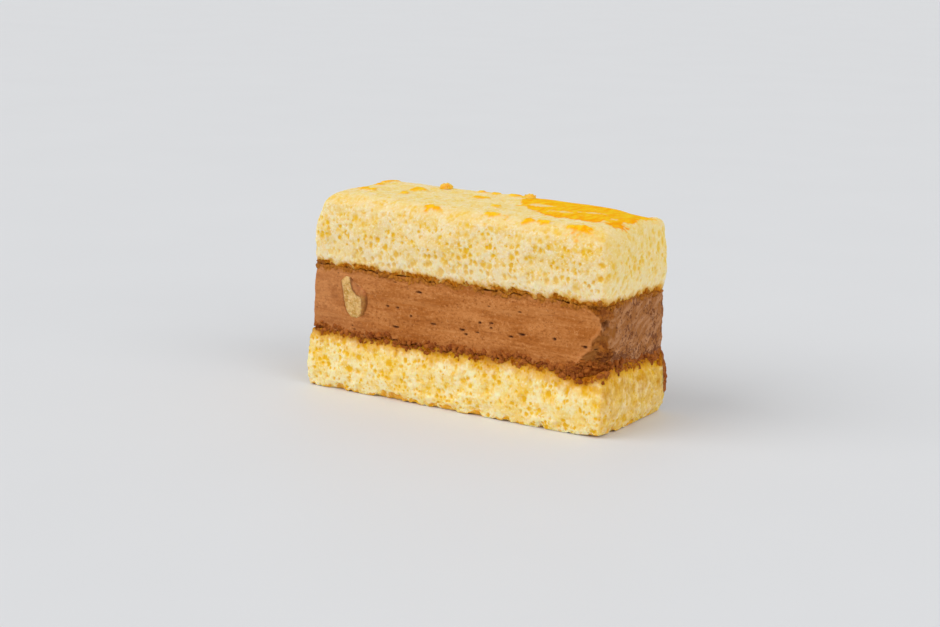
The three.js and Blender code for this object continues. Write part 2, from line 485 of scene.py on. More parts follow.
# %% Waving seams
WAVE_SIZE, WAVE_RISE = 2.8, 1.4
RIPPLE_SIZE, RIPPLE_RISE = 1.4, 0.2
UPPER_DROP, FRONT_LIFT, RIGHT_LIFT = 1.1, 1.1, 1.2
SEAM_REACH = 10
FAR = np.float32(99)


def sway(rows, under, over):
    """How far the seams wave, rise or hang, at rows so far from the seams under and over the cream."""
    wave = WAVE_RISE * ripple(rows, WAVE_SIZE, 3.0) + RIPPLE_RISE * ripple(rows, RIPPLE_SIZE, 4.0)
    wave *= step(np.minimum(under, over), 2.4, 0.3)
    raised = (FRONT_LIFT + RIGHT_LIFT * step(rows[:, 0], 0, 28)) * step(rows[:, 1], 4, -8)
    return wave + raised * step(under, SEAM_REACH, 0.5) - UPPER_DROP * step(over, SEAM_REACH, 0.5)


print("the upper seam hangs", UPPER_DROP, "mm lower")

# %% [markdown]
# The faces between the layers stay hidden, so their small cells are joined into larger ones. Cake has no
# sharp facets, so each finished piece is shaded smooth.

# %% Finished meshes
def thin_out(piece, ratio):
    """Joins the small cells where a piece isn't open and no one sees it."""
    shares = np.empty(len(piece.data.vertices), np.float32)
    piece.data.attributes["open"].data.foreach_get("value", shares)
    hidden = (shares < 0.01).tolist()
    select_parts(piece, "FACE", lambda face: all(hidden[index] for index in face.vertices))
    bpy.ops.mesh.decimate(ratio=ratio)
    bpy.ops.object.mode_set(mode="OBJECT")


def finish_mesh(piece):
    """Shades a piece smooth and counts its triangles."""
    select_only(piece)
    bpy.ops.object.shade_smooth()
    piece.data.calc_loop_triangles()
    print(piece.name, "has", len(piece.data.loop_triangles), "triangles")


print("mesh helpers ready")

# %% [markdown]
# The lower slab has a coarse, open crumb. Its top is under the cream and its base is on the floor, so only
# its four cut sides are opened. Along its foot it isn't cut cleanly, and small bits have come away. How near
# each point is to the cream is painted too, because the crumb is soaked there. The cream that was dragged
# down the back only covers the crumb, so the distance is made longer beside it. Under the torn corner of the
# cream, wet crumbs stick together in a clump.

# %% Crumb of the lower sponge
COARSE_BUBBLES = [(2.7, 0.4, 1.6), (1.5, 0.35, 1.05), (0.85, 0.15, 0.5)]
COARSE_SHARE, COARSE_DEEPEST, COARSE_ROUGH = 0.28, 0.32, 0.7
FOOT_HEIGHT, FOOT_DEPTH = 2.8, 3.5
CLUMP_X, CLUMP_Z, CLUMP_WIDE, CLUMP_HIGH = 41.5, 15.6, 6.0, 3.4
HIDDEN_SHARE = 0.1


def clumped(rows):
    """The share of wet crumbs that stick together at the front, under the torn corner of the cream."""
    away = np.hypot((rows[:, 0] - CLUMP_X) / CLUMP_WIDE, (rows[:, 2] - CLUMP_Z) / CLUMP_HIGH)
    return step(away + 0.5 * ripple(rows, 1.6, 8.0), 1.05, 0.8) * (rows[:, 1] < -12)


rows, normals = places(lower), facing(lower)
cut = step(np.abs(normals[:, 2]), 0.85, 0.5)
near = gap_to("cream_filling", rows) + 6 * step(rows[:, 2], 14, 12) * step(rows[:, 1], 6, 9)
from_side = np.minimum(rows - rows.min(0), rows.max(0) - rows)[:, :2].min(1)
ground = rows * (1, 1, 0)
lift = np.maximum(2.4 * ripple(ground, 5.0, 2.0) + 1.6 * ripple(ground, 1.8, 6.0), 0)
lift *= step(rows[:, 2], FOOT_HEIGHT, 0.3) * step(from_side, FOOT_DEPTH, 1.0)
seam = step(near + 1.3 * ripple(rows, 3.0) + 0.5 * ripple(rows, 1.0), 2.3, 0.8)
paint(lower, "open", cut)
paint(lower, "near_cream", near)
paint(lower, "end", step(normals[:, 0], 0.2, 0.95))
paint(lower, "shift", lift + sway(rows, near, FAR))
paint(lower, "soaked", np.maximum(seam, clumped(rows)) * cut * step(rows[:, 2], 11, 13))
coarse = crumb_modifier("coarse_crumb", COARSE_BUBBLES, COARSE_SHARE, COARSE_DEEPEST, COARSE_ROUGH)
use_modifier(lower, "NODES", node_group=coarse)
thin_out(lower, HIDDEN_SHARE)
finish_mesh(lower)

# %% [markdown]
# ## The upper sponge
# The baked top of the upper slab is rubbed away in most places. One large patch of it is left, painted as
# crust, with a ragged edge and pale streaks where it is rubbed thin. The patch is given by a few straight
# edges, and noise makes them ragged. The small flakes are ovals painted apart, because they stand a little
# higher than the crumb.

# %% Upper sponge and its crust
UPPER_CELLS, UPPER_WEAR = (148, 53, 33), 120
CRUST_FLAKES = [
    (-38.9, 9.6, 2.2, 3.0), (-37.8, 4.0, 1.5, 1.8), (-36.9, -5.2, 1.5, 1.8), (-33.2, -6.3, 1.2, 1.4),
    (-24.5, 3.4, 2.6, 2.8), (-24.2, -3.6, 1.3, 1.8), (-8.4, -14.9, 1.2, 0.9), (-6.0, -15.3, 1.0, 0.8),
    (-4.0, 3.6, 2.6, 2.2), (-8.2, 12.0, 1.4, 1.5), (-3.5, 12.3, 1.2, 1.4), (3.3, 10.9, 2.0, 1.4),
    (6.6, -4.4, 1.5, 1.4), (11.6, -14.6, 2.2, 0.9), (22.8, -15.0, 1.6, 1.0), (27.6, -14.9, 2.0, 1.1),
    (38.6, -15.7, 3.8, 1.5),
]
PALE_STREAKS = [
    (16.5, 3.0, 4.2, 1.4), (27.0, -2.3, 3.2, 0.7), (33.5, 1.6, 3.6, 1.0), (41.0, -6.2, 0.9, 3.2),
]
PATCH_FRONT, PATCH_END = -8.2, 45.7
PATCH_LEFT, PATCH_LEAN = 11.3, 0.53
PATCH_CORNER, PATCH_SLANT = np.array((12.1, 0.2)), np.array((0.595, 0.804))


def spots(rows, ovals):
    """How far inside the nearest oval each row lies; an oval is x, y, half its length and half its depth."""
    reach = []
    for x, y, long, deep in ovals:
        away = np.hypot((rows[:, 0] - x) / long, (rows[:, 1] - y) / deep)
        reach.append(min(long, deep) * (1 - away))
    return np.max(reach, axis=0)


upper = block("upper_sponge", *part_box("sponge_upper"), UPPER_CELLS)
lay_on(upper, "sponge_upper", worn_edges, UPPER_WEAR)
rows, normals = places(upper), facing(upper)
up = normals[:, 2]
ragged = 1.6 * ripple(rows, 2.6) + 1.1 * ripple(rows, 1.0, 5.0)
slanted = (rows[:, :2] - PATCH_CORNER) @ PATCH_SLANT
leaning = 0.88 * (rows[:, 0] - PATCH_LEFT + PATCH_LEAN * rows[:, 1])
patch = np.minimum.reduce([slanted, leaning, rows[:, 1] - PATCH_FRONT, PATCH_END - rows[:, 0]])
crust = step(patch + ragged, -0.2, 0.5) * step(up + 0.25 * ragged, 0.3, 0.65)
crust *= 1 - 0.8 * step(spots(rows, PALE_STREAKS) + 0.8 * ragged, -0.3, 0.5)
flake = spots(rows, CRUST_FLAKES) + 0.7 * ragged
flakes = step(flake, -0.4, 0.4) * step(up, 0.2, 0.4)
paint(upper, "crust", crust)
paint(upper, "flake", flakes)
paint(upper, "border", step(patch + ragged, 2.6, 0.8) * step(rows[:, 1], 0, -4))
paint(upper, "top", step(up, 0.1, 0.95))
print("crust is painted on", round(100 * float(np.mean(crust > 0.5))), "percent of the points")

# %% [markdown]
# The crumb of the upper slab is finer. Crust and flakes have hardly any open bubbles, and the crumb below
# them has fewer than further down. The back right shoulder of the top stands up a little.

# %% Crumb of the upper sponge
FINE_BUBBLES = [(2.8, 0.4, 1.6), (1.8, 0.35, 1.2), (0.85, 0.1, 0.5)]
FINE_SHARE, FINE_DEEPEST, FINE_ROUGH = 0.35, 0.3, 0.6
FLAKE_RISE, SHOULDER_RISE = 0.4, 2.0

cut = step(up, -0.85, -0.5)
near = gap_to("cream_filling", rows)
smoother = 0.4 * step(rows[:, 2] + 2.5 * ripple(rows, 4.0, 9.0), 46, 54)
shoulder = step(rows[:, 0], 43, 48) * step(rows[:, 1], -4, 8) * step(rows[:, 2], 46, 52)
raised = FLAKE_RISE * step(flake, -0.3, 0.6) * step(up, 0.3, 0.7) + SHOULDER_RISE * shoulder
seam = step(near + 0.9 * ripple(rows, 2.4) + 0.4 * ripple(rows, 0.9), 1.4, 0.6)
paint(upper, "open", cut * (1 - 0.8 * np.maximum(crust, flakes)) * (1 - smoother))
paint(upper, "near_cream", near)
paint(upper, "end", step(normals[:, 0], 0.2, 0.95))
paint(upper, "shift", sway(rows, FAR, near) + raised)
paint(upper, "soaked", seam * cut)
fine = crumb_modifier("fine_crumb", FINE_BUBBLES, FINE_SHARE, FINE_DEEPEST, FINE_ROUGH)
use_modifier(upper, "NODES", node_group=fine)
thin_out(upper, HIDDEN_SHARE)
finish_mesh(upper)

# %% [markdown]
# ## The chocolate cream
# The cream was cut with a knife, and at the front right its corner is torn away, most at the bottom. The
# tear is painted as the depth in millimetres by which each point is pushed in, slantwise from the corner, so
# that a flat slope is left between the front and the end. How wide it is at each height is read off between
# a few given ones.

# %% Chocolate cream and its torn corner
CREAM_CELLS = (158, 57, 36)
CORNER_X, CORNER_Y = 47.2, -17.2
TEAR_HEIGHTS = (17.0, 19.0, 22.6, 25.7, 27.6, 29.6, 32.0, 34.0, 35.7)
TEAR_WIDTHS = (8.2, 6.8, 4.8, 3.7, 2.1, 1.8, 2.0, 2.9, 4.8)
TEAR_REACH = 5.8
TEAR_WAY = (-0.74, 0.67, 0.0)
TEAR_STEP = 0.3
NOTCH, NOTCH_DEPTH = (46.4, -14.2, 30.5), 1.5

front = places(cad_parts["cream_filling"])
front = front[front[:, 1] < 0]
low, high = front.min(0), front.max(0)
high[1] = -low[1]
cream = block("chocolate_cream", low * MM, high * MM, CREAM_CELLS)
lay_on(cream, "cream_filling")
rows, normals = places(cream), facing(cream)
width = np.interp(rows[:, 2], TEAR_HEIGHTS, TEAR_WIDTHS)
width = width + 0.8 * ripple(rows, 2.2) + 0.5 * ripple(rows, 0.9)
reach = TEAR_REACH + 2.0 * ripple(rows, 2.4, 7.0) + 1.0 * ripple(rows, 0.9, 7.0)
along, across = (CORNER_X - rows[:, 0]) / width, (rows[:, 1] - CORNER_Y) / reach
tear = (1 - along - across) / (-TEAR_WAY[0] / width + TEAR_WAY[1] / reach)
torn = step(tear, 0.0, 0.35)
facet = step(along - across, -0.1, 0.2) * step(rows[:, 2], 25.5, 23.5)
lumpy = torn * (1 - facet) * np.maximum(step(rows[:, 2], 29.5, 31.5), step(rows[:, 2], 27.0, 24.5))
notch = NOTCH_DEPTH * step(np.linalg.norm(rows - NOTCH, axis=1), 2.0, 0.4)
paint(cream, "tear", np.maximum(tear, 0) + TEAR_STEP * step(tear, 0.0, 0.2) + notch)
paint(cream, "torn", torn)
paint(cream, "lumpy", np.maximum(lumpy, clumped(rows)))
paint(cream, "notch", notch / NOTCH_DEPTH)
paint(cream, "lip", step(tear, -1.2, -0.4) * step(tear, 0.1, -0.2) * (normals[:, 1] < -0.5))
paint(cream, "end", step(normals[:, 0], 0.5, 0.8) * (1 - torn))
print("the corner is torn away by up to", round(float(tear.max()), 1), "mm")

# %% [markdown]
# The larger holes at the front are flat slits that the knife has drawn out, each at its own place. Where the
# cream meets the sponges it is soaked and lumpy.

# %% Seams and holes of the cream
LENS_HOLES = [
    (-5.3, 23.5, 1.1), (4.1, 23.1, 1.1), (-17.8, 20.5, 1.4), (-10.0, 32.7, 1.3), (-20.5, 26.7, 0.6),
    (-17.2, 26.7, 0.6), (5.3, 21.8, 0.7), (-12.6, 24.9, 0.5), (22.9, 24.7, 1.4), (19.5, 23.3, 0.9),
    (32.9, 25.0, 0.7), (42.0, 24.1, 0.9), (9.8, 26.2, 0.6), (13.3, 25.2, 0.5),
]
LENS_HIGH = 0.34

cut = step(np.abs(normals[:, 2]), 0.85, 0.5)
near_lower, near_upper = gap_to("sponge_lower", rows), gap_to("sponge_upper", rows)
lenses = [np.hypot((rows[:, 0] - x) / long, (rows[:, 2] - z) / LENS_HIGH) for x, z, long in LENS_HOLES]
clumps = 1.0 * ripple(rows, 2.6) + 0.5 * ripple(rows, 1.0)
upper_seam = step(near_upper + 0.6 * clumps, 1.3, 0.4)
lower_seam = step(near_lower + 1.2 * clumps, 1.7, 0.5)
paint(cream, "open", cut)
paint(cream, "near_sponge", np.minimum(near_lower, near_upper))
paint(cream, "near_nut", gap_to("walnut_piece", rows))
paint(cream, "clump", clumped(rows))
paint(cream, "shift", sway(rows, near_lower, near_upper))
paint(cream, "lens", step(np.min(lenses, axis=0), 1.1, 0.5) * (rows[:, 1] < 0))
paint(cream, "soaked", np.maximum(np.maximum(upper_seam, lower_seam), clumped(rows)) * cut)
print(len(LENS_HOLES), "larger holes placed")

# %% [markdown]
# One modifier then shapes the cream from all that is painted. The cut faces are smooth, with fine drag marks
# from stretched noise. The bubble field, stretched along the cake and with most of its bubbles left out,
# gives the smallest holes. Top and bottom are pressed a little into the sponges, so that no gap shows.

# %% Cut of the cream
HOLE_STRETCH, HOLES, HOLE_DEPTH = 0.4, (1.8, -0.2, 0.36), 0.6
DRAG_STRETCH, DRAG_RISE = 0.08, 0.22
LIP_RISE, PRESSED = 0.3, 0.5
CREAM_SHARE = 0.06


def stretched(spot, level):
    """Places squeezed level, so that a pattern on them is drawn out along the cake."""
    return vector("MULTIPLY", spot, (level, level, 1.0))


def cream_modifier():
    """Drag marks, a few holes, lumps at the seams and in the tear, an uneven end and the torn corner."""
    mesh, place, normal, out = modifier_tree("cut_cream")
    mesh = store(mesh, "rest", place)
    opened, lumpy = named(mesh, "open"), named(mesh, "lumpy")
    hole = bubble(stretched(place, HOLE_STRETCH), *HOLES)[0]
    drag = swell(stretched(place, DRAG_STRETCH), 1.6, 3.0, 0.6)
    seam = fade(named(mesh, "near_sponge"), 1.8, 0.3)
    loose = calc("MAXIMUM", seam, lumpy)
    lumps = calc("MULTIPLY", cobble(place, LUMP_SIZE), calc("MULTIPLY", loose, LUMP_RISE))
    end = calc("MULTIPLY", named(mesh, "end"), 0.4)
    dented = fade(named(mesh, "near_nut"), 8.0, 2.0, 0.12, 0.4)
    share = largest([calc("MULTIPLY", seam, 0.4), lumpy, end, dented])
    rise = calc("MULTIPLY_ADD", swell(place, 1.3, 3.0, 0.65), calc("MULTIPLY", share, 1.6), lumps)
    rise = calc("MULTIPLY_ADD", drag, DRAG_RISE, rise)
    rise = calc("MULTIPLY_ADD", calc("MAXIMUM", hole, named(mesh, "lens")), -HOLE_DEPTH, rise)
    rise = calc("MULTIPLY_ADD", named(mesh, "lip"), LIP_RISE, rise)
    rise = calc("MULTIPLY", rise, opened)
    rise = calc("MULTIPLY_ADD", calc("SUBTRACT", 1.0, opened), PRESSED, rise)
    way = node(mesh.id_data, "ShaderNodeCombineXYZ", dict(zip("XYZ", TEAR_WAY))).outputs["Vector"]
    slope = scaled(way, named(mesh, "tear"))
    feed(out, moved(mesh, scaled(normal, rise), slope, upward(named(mesh, "shift"))))
    return out.id_data


use_modifier(cream, "NODES", node_group=cream_modifier())
thin_out(cream, CREAM_SHARE)
finish_mesh(cream)

# %% [markdown]
# A tongue of cream was dragged down the back of the lower sponge beside the right end. It is a small block
# of its own, laid on the lower part of the same solid and roughened by the same modifier. It is as wet and
# lumpy as the clump at the front.

# %% Dragged cream
RUN_LOW, RUN_HIGH = Vector((39.8, 15.3, 4.2)), Vector((48.5, 19.0, 18.0))
RUN_CELLS, RUN_WEAR = (14, 8, 22), 4


def paint_all(piece, **values):
    """Paints the same number all over a piece, under each name."""
    for name, value in values.items():
        paint(piece, name, np.full(len(piece.data.vertices), value))


run = block("cream_run", RUN_LOW * MM, RUN_HIGH * MM, RUN_CELLS)
lay_on(run, "cream_filling", lambda rows: np.full(len(rows), 0.5), RUN_WEAR)
paint_all(run, open=1, near_sponge=4, near_nut=9, clump=1, lumpy=0.5)
paint_all(run, torn=0, notch=0, lip=0, lens=0, tear=0, end=0, shift=0)
use_modifier(run, "NODES", node_group=cream_modifier())
finish_mesh(run)

# %% [markdown]
# ## The walnut piece
# A piece of walnut is cut through at the front: pale flesh with a narrow neck at its top. To the right of
# the flesh a brown flank turns away. Beside the neck the flank lies in shadow, and cream covers the rest of
# it there. The right rim of the flesh is given at a few heights, and each point is painted by how far past
# that rim it lies.

# %% Walnut piece
NUT_CELLS = (20, 16, 32)
FLESH_HEIGHTS = (23.1, 24.7, 26.6, 28.0, 28.7, 30.2, 32.8)
FLESH_RIMS = (-29.9, -29.5, -29.4, -29.9, -31.4, -32.8, -33.4)
NECK_HEIGHT = 29.0

walnut = block("walnut", *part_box("walnut_piece"), NUT_CELLS)
lay_on(walnut, "walnut_piece")
rows = places(walnut)
heights = np.linspace(rows[:, 2].min(), rows[:, 2].max(), 24)
levels = [rows[np.abs(rows[:, 2] - height) < 0.6, 0] for height in heights]
from_right = np.interp(rows[:, 2], heights, [level.max() for level in levels]) - rows[:, 0]
from_left = rows[:, 0] - np.interp(rows[:, 2], heights, [level.min() for level in levels])
past = rows[:, 0] - np.interp(rows[:, 2], FLESH_HEIGHTS, FLESH_RIMS) + 0.4 * ripple(rows, 1.2)
above = rows[:, 2] - NECK_HEIGHT
shadow = step(past, -0.3, 0.3) * step(above, -0.6, 0.6)
rims = np.maximum(step(from_right, 0.7, 0.1), 0.6 * step(from_left, 0.6, 0.1))
cover = step(past + 0.5 * ripple(rows, 0.9, 3.0), 0.5, 1.3) * step(above, -1.0, 0.4)
paint(walnut, "skin", step(past, -0.3, 0.4))
paint(walnut, "cover", cover)
paint(walnut, "shade", np.maximum(shadow, rims))
paint(walnut, "fold", np.exp(-(past / 0.5) ** 2))
# How near each point is to the rims, where shade is painted on the flesh.
paint(walnut, "rim", step(np.minimum(from_left, from_right) + 0.5 * ripple(rows, 1.0, 2.0), 1.5, 0.1))


def walnut_modifier():
    """A soft, uneven surface with a fold between flesh and flank."""
    mesh, place, normal, out = modifier_tree("nut_flesh")
    mesh = store(mesh, "rest", place)
    uneven = calc("MULTIPLY", swell(place, 1.4, 3.0, 0.6), 0.7)
    proud = calc("MULTIPLY_ADD", named(mesh, "skin"), 0.2, 0.15)
    proud = calc("MULTIPLY_ADD", named(mesh, "fold"), -0.2, proud)
    feed(out, moved(mesh, scaled(normal, calc("ADD", uneven, proud))))
    return out.id_data


use_modifier(walnut, "NODES", node_group=walnut_modifier())
finish_mesh(walnut)

# %% [markdown]
# ## Soaked crumbs at the seams
# Where cream and sponge meet, the crumb is soaked and brown, and the knife has torn it into small lumps.
# They are scattered over copies of the three layers, as densely as painted, each a ball of a few dozen faces
# that noise bends out of shape. The instances are realized, so that they are one mesh. The back right edge
# is left bare, because cream covers it.

# %% Soaked crumbs
SEED = 7
CRUMBS_PER_MM2 = 1.7
CRUMB_SUNK, CRUMB_BENT = 0.45, 1.1
CRUMB_LEAST, CRUMB_MORE = 0.4, 0.75
BARE_EDGE = (48.0, 17.5, 0.0)
FULL_TURN = 6.28


def scatter_modifier(seed):
    """Puts small lumps on the faces of a mesh where it is soaked."""
    mesh, place, normal, out = modifier_tree("soaked_crumbs")
    tree = mesh.id_data
    away = vector("LENGTH", vector("MULTIPLY", vector("SUBTRACT", place, BARE_EDGE), (1.0, 1.0, 0.0)))
    share = calc("MULTIPLY", named(mesh, "soaked"), fade(away, 2.5, 4.5))
    density = calc("MULTIPLY", share, CRUMBS_PER_MM2 / MM ** 2)
    sockets = {"Mesh": mesh, "Density": density, "Seed": seed}
    points = node(tree, "GeometryNodeDistributePointsOnFaces", sockets)
    sockets = {"Segments": 8, "Rings": 5, "Radius": 1 * MM}
    ball = node(tree, "GeometryNodeMeshUVSphere", sockets).outputs["Mesh"]

    def draw(most, own_seed):
        made = node(tree, "FunctionNodeRandomValue", {"Seed": own_seed}, data_type="FLOAT_VECTOR")
        made.inputs[0].default_value = (0, 0, 0)
        made.inputs[1].default_value = (most, most, most)
        return made.outputs[0]

    sunk = moved(points.outputs["Points"], scaled(points.outputs["Normal"], -CRUMB_SUNK))
    tinted = store(sunk, "tone", draw(1, seed + 1))
    size = vector("POWER", draw(1, seed + 3), (2.0, 2.0, 2.0))
    size = vector("MULTIPLY_ADD", size, (CRUMB_MORE,) * 3, (CRUMB_LEAST,) * 3)
    sockets = {"Points": tinted, "Instance": ball, "Rotation": draw(FULL_TURN, seed + 2), "Scale": size}
    lumps = node(tree, "GeometryNodeInstanceOnPoints", sockets).outputs["Instances"]
    lumps = node(tree, "GeometryNodeRealizeInstances", {"Geometry": lumps}).outputs["Geometry"]
    feed(out, moved(lumps, scaled(drift(place, 0.5, 2.0, 0.6), CRUMB_BENT)))
    return tree


copies = []
for count, piece in enumerate((lower, upper, cream)):
    select_only(piece)
    bpy.ops.object.duplicate()
    copies.append(bpy.context.object)
    use_modifier(copies[-1], "NODES", node_group=scatter_modifier(SEED + 10 * count))
for piece in copies:
    piece.select_set(True)
bpy.context.view_layer.objects.active = copies[0]
bpy.ops.object.join()
crumbs = copies[0]
crumbs.name = crumbs.data.name = "seam_crumbs"
finish_mesh(crumbs)

# %% [markdown]
# Two larger golden crumbs stand up at the back edge of the top. Each starts as a ball, and the modifier of
# the crumb makes it very rough.

# %% Standing crumbs
TOP_CRUMBS = [(-20.0, 11.0, 56.2, 1.9), (7.4, 11.4, 55.7, 2.0)]
FLATTENED = 0.85
LOOSE_SHARE, LOOSE_DEEPEST, LOOSE_ROUGH = 0.4, 0.3, 1.7

bpy.ops.object.select_all(action="DESELECT")
balls = []
for x, y, z, radius in TOP_CRUMBS:
    spot = Vector((x, y, z)) * MM
    bpy.ops.mesh.primitive_ico_sphere_add(subdivisions=5, radius=radius * MM, location=spot)
    balls.append(bpy.context.object)
    balls[-1].scale.z = FLATTENED
for ball in balls:
    ball.select_set(True)
bpy.ops.object.join()
top_crumbs = bpy.context.object
top_crumbs.name = top_crumbs.data.name = "top_crumbs"
bpy.ops.object.transform_apply(location=True, rotation=True, scale=True)
paint_all(top_crumbs, open=1, crust=0, flake=0.75, top=1, near_cream=9, border=0, end=0, shift=0)
loose = crumb_modifier("loose_crumb", FINE_BUBBLES, LOOSE_SHARE, LOOSE_DEEPEST, LOOSE_ROUGH)
use_modifier(top_crumbs, "NODES", node_group=loose)
finish_mesh(top_crumbs)

# %% [markdown]
# ## Materials
# The painted numbers tell each material what lies where, and noise keeps each colour from being flat. A
# material starts from one colour and blends others over it, each by a share between 0 and 1.

# %% Colour helpers
def material(name):
    """A new material: its shader, and the place on the piece in millimetres before it was roughened."""
    made = bpy.data.materials.new(name)
    made.use_nodes = True
    rest = node(made.node_tree, "ShaderNodeAttribute", attribute_name="rest").outputs["Vector"]
    return made, made.node_tree.nodes["Principled BSDF"], rest


def painted(rest, name):
    """The painted values of a piece, read inside a material."""
    return node(rest.id_data, "ShaderNodeAttribute", attribute_name=name).outputs["Fac"]


def blend(share, first, second):
    """The first colour, turning into the second as share goes from 0 to 1."""
    made = node(share.id_data, "ShaderNodeMix", data_type="RGBA")
    for index, value in ((0, share), (6, first), (7, second)):
        feed(made.inputs[index], value)
    return made.outputs[2]


def partly(share, amount):
    """A share made smaller."""
    return calc("MULTIPLY", share, amount)


def mottled(rest, size, first, second):
    """Two colours in blots of one size."""
    return blend(fade(cloud(rest, size, 3.0, 0.65), 0.32, 0.68), first, second)


print("colour helpers ready")

# %% [markdown]
# Grain that is finer than the mesh is given by bumps in the shader. Some light goes under the surface of
# crumb and nut and comes out beside it, and subsurface scattering gives that soft look.

# %% Surface helpers
def surface(shader, roughness, gloss, height, strength, depth):
    """Sets how rough and glossy a shader is, and gives it fine bumps from a height."""
    shader.inputs["Roughness"].default_value = roughness
    shader.inputs["Specular IOR Level"].default_value = gloss
    sockets = {"Height": height, "Strength": strength, "Distance": depth * MM}
    feed(shader.inputs["Normal"], node(height.id_data, "ShaderNodeBump", sockets).outputs["Normal"])


def glow(shader, share, spread, reach):
    """Lets a share of the light pass under the surface, red the furthest."""
    shader.inputs["Subsurface Weight"].default_value = share
    shader.inputs["Subsurface Radius"].default_value = spread
    shader.inputs["Subsurface Scale"].default_value = reach * MM


print("surface helpers ready")

# %% [markdown]
# ## The finish of the sponges
# Crumb is pale where its walls are cut and golden inside its bubbles, where the light has passed through
# more of the cake. Both sponges share one recipe: a pale wall colour that wanders between two tones, golden
# grain, golden bubbles in loose groups, and tiny wet pores near the cream. Only the colours differ.

# %% Sponge recipe
PALE_GRAIN, WET_PORE = srgb(253, 246, 222), srgb(186, 132, 40)


def sponge_finish(name, bubbles, least, wall, warm, gold, deep):
    """Pale walls and golden bubbles in groups, with some share of them left between the groups."""
    made, shader, rest = material(name)
    colour = blend(fade(cloud(rest, 4.0, 3.0, 0.6), 0.35, 0.65), wall, warm)
    colour = blend(partly(fade(cloud(rest, 2.4, 3.0, 0.6), 0.52, 0.66), 0.6), colour, gold)
    grain = cloud(rest, 0.6, 3.0, 0.65)
    colour = blend(partly(fade(grain, 0.52, 0.74), 0.5), colour, gold)
    colour = blend(partly(fade(grain, 0.46, 0.3), 0.5), colour, PALE_GRAIN)
    large, middle, small = (share for share, radius in foam(rest, bubbles))
    damp = fade(painted(rest, "near_cream"), 5.0, 1.5, 0.0, 0.6)
    colour = blend(calc("MULTIPLY", fade(small, 0.3, 0.8), damp), colour, WET_PORE)
    pore = largest([large, middle, partly(small, 0.4)])
    pore = calc("MULTIPLY", pore, painted(rest, "open"))
    pore = calc("MULTIPLY", pore, fade(cloud(rest, 4.5, 2.5, 0.55), 0.36, 0.58, least, 1.15))
    colour = blend(partly(fade(pore, 0.0, 0.85), 0.9), colour, gold)
    colour = blend(partly(fade(pore, 0.5, 1.0), 0.6), colour, deep)
    surface(shader, 0.95, 0.05, calc("MULTIPLY_ADD", pore, -0.4, grain), 0.4, 0.3)
    glow(shader, 0.8, (1.0, 0.75, 0.3), 1.2)
    return made, shader, rest, colour


print("sponge recipe ready")

# %% [markdown]
# Beside the cream a stain goes from gold to brown. Noise makes its border ragged, because the wet has crept
# further in some places than in others, and the very edge is brown all along.

# %% Stain beside the cream
STAIN_GOLD, STAIN_EDGE = srgb(222, 160, 20), srgb(178, 108, 16)
STAIN_DARK, STAIN_LIGHT = srgb(138, 70, 6), srgb(198, 124, 28)


def ragged_gap(rest, name, spread):
    """A painted distance, made ragged by noise."""
    return calc("MULTIPLY_ADD", swell(rest, 2.6, 2.5, 0.55), spread, painted(rest, name))


def stained(rest, colour, golden, brown, spread, edge):
    """A colour stained beside the cream: gold, brown nearer to it, and some share of brown at the edge."""
    gap = ragged_gap(rest, "near_cream", spread)
    colour = blend(partly(fade(gap, *golden), 0.8), colour, STAIN_GOLD)
    colour = blend(fade(painted(rest, "near_cream"), 3.0, 0.9, 0.0, edge), colour, STAIN_EDGE)
    return blend(fade(gap, *brown), colour, mottled(rest, 0.9, STAIN_DARK, STAIN_LIGHT))


print("stain ready")

# %% [markdown]
# The lower sponge is the more golden one. Its end is painted in shade, darker in blots, and along its foot
# it is damp and deep yellow in patches, brightened as a painted glow of light from below.

# %% Finish of the lower sponge
LOWER_WALL, LOWER_WARM = srgb(250, 233, 186), srgb(248, 214, 130)
LOWER_GOLD, LOWER_DEEP = srgb(243, 195, 42), srgb(232, 174, 16)
END_DARK, END_LIGHT = srgb(206, 148, 40), srgb(226, 180, 84)
FOOT_DAMP_AND_GLOW = srgb(236, 164, 8)


def along_axis(rest, axis="Z"):
    """The height of each point in millimetres, or its place along another axis."""
    return node(rest.id_data, "ShaderNodeSeparateXYZ", {"Vector": rest}).outputs[axis]


lower_crumb, shader, rest, colour = sponge_finish(
    "lower_crumb", COARSE_BUBBLES, 0.4, LOWER_WALL, LOWER_WARM, LOWER_GOLD, LOWER_DEEP)
shade = calc("MULTIPLY", painted(rest, "end"), fade(along_axis(rest), 2, 13, 0.5, 0.85))
shade = calc("MULTIPLY", shade, fade(cloud(rest, 3.0, 3.0, 0.6), 0.35, 0.6, 0.45, 1.15))
colour = blend(shade, colour, mottled(rest, 2.2, END_DARK, END_LIGHT))
colour = stained(rest, colour, (5.0, 1.8), (1.9, 1.0), 8.0, 0.8)
# Along the foot: damp patches of deep yellow, brightened as a painted glow of light from below.
damp = calc("MULTIPLY_ADD", cloud(rest, 2.6, 2.0), -4.5, along_axis(rest))
colour = blend(partly(fade(damp, -1.5, -2.2), 0.85), colour, FOOT_DAMP_AND_GLOW)
feed(shader.inputs["Base Color"], colour)
print(lower_crumb.name, "has", len(lower_crumb.node_tree.nodes), "nodes")

# %% [markdown]
# The upper sponge is paler, most of all just above the cream, and its end is painted a deeper yellow as
# shade. What is left of its crust is bright orange and gold, streaked from front to back, so the noise is
# stretched that way.

# %% Finish of the upper sponge
UPPER_WALL, UPPER_WARM = srgb(238, 221, 180), srgb(237, 209, 142)
UPPER_GOLD, UPPER_DEEP = srgb(237, 191, 40), srgb(228, 172, 12)
TOP_TONE, END_SHADE, LOW_TONE = srgb(241, 200, 100), srgb(240, 206, 110), srgb(250, 241, 214)
FLAKE_DARK, FLAKE_LIGHT = srgb(251, 164, 0), srgb(252, 196, 36)
CRUST_DARK, CRUST_LIGHT, CRUST_BORDER = srgb(255, 156, 0), srgb(255, 190, 28), srgb(246, 146, 0)

